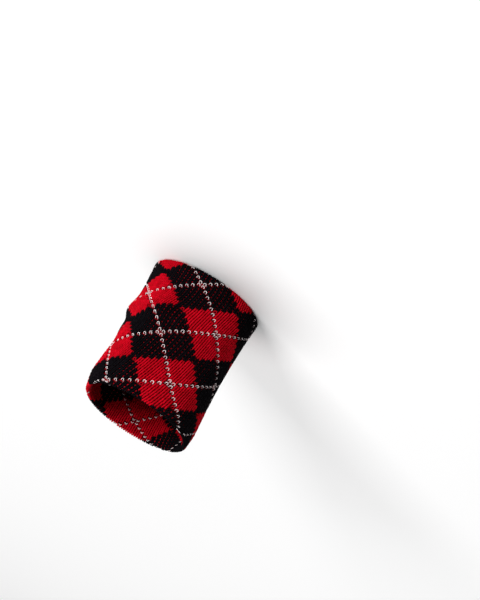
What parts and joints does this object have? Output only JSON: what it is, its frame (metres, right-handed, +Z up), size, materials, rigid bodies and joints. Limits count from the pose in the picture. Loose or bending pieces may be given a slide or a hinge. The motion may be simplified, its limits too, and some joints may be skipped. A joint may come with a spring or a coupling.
{
  "type": "knitted wristband",
  "caption": "Stretchy double-layer knitted wristband in an argyle pattern, turned over at both ends, for wearing round the wrist.",
  "frame": {"origin": "centre of the base, which is the flat edge of the hand-end fold", "axes": "+Z up the forearm towards the elbow, X across the wrist, -Y towards the back of the hand"},
  "size_m": [0.0776, 0.0688, 0.092],
  "materials": {
    "patterned_knit": "soft matt red yarn, the ground of the knitting",
    "red_yarn": "soft matt plied yarn",
    "black_yarn": "soft matt plied yarn",
    "white_yarn": "soft matt plied yarn",
    "seam_thread": "fine twisted sewing thread",
    "elastic": "rubber core wrapped in fine thread"
  },
  "bodies": {
    "root": {"outer_layer": "patterned_knit", "hand_end_fold": "patterned_knit", "arm_end_fold": "patterned_knit", "inner_layer_hand_half": "patterned_knit", "inner_layer_arm_half": "patterned_knit", "closing_seam": "seam_thread", "elastic_threads": "elastic"}
  },
  "joints": []
}
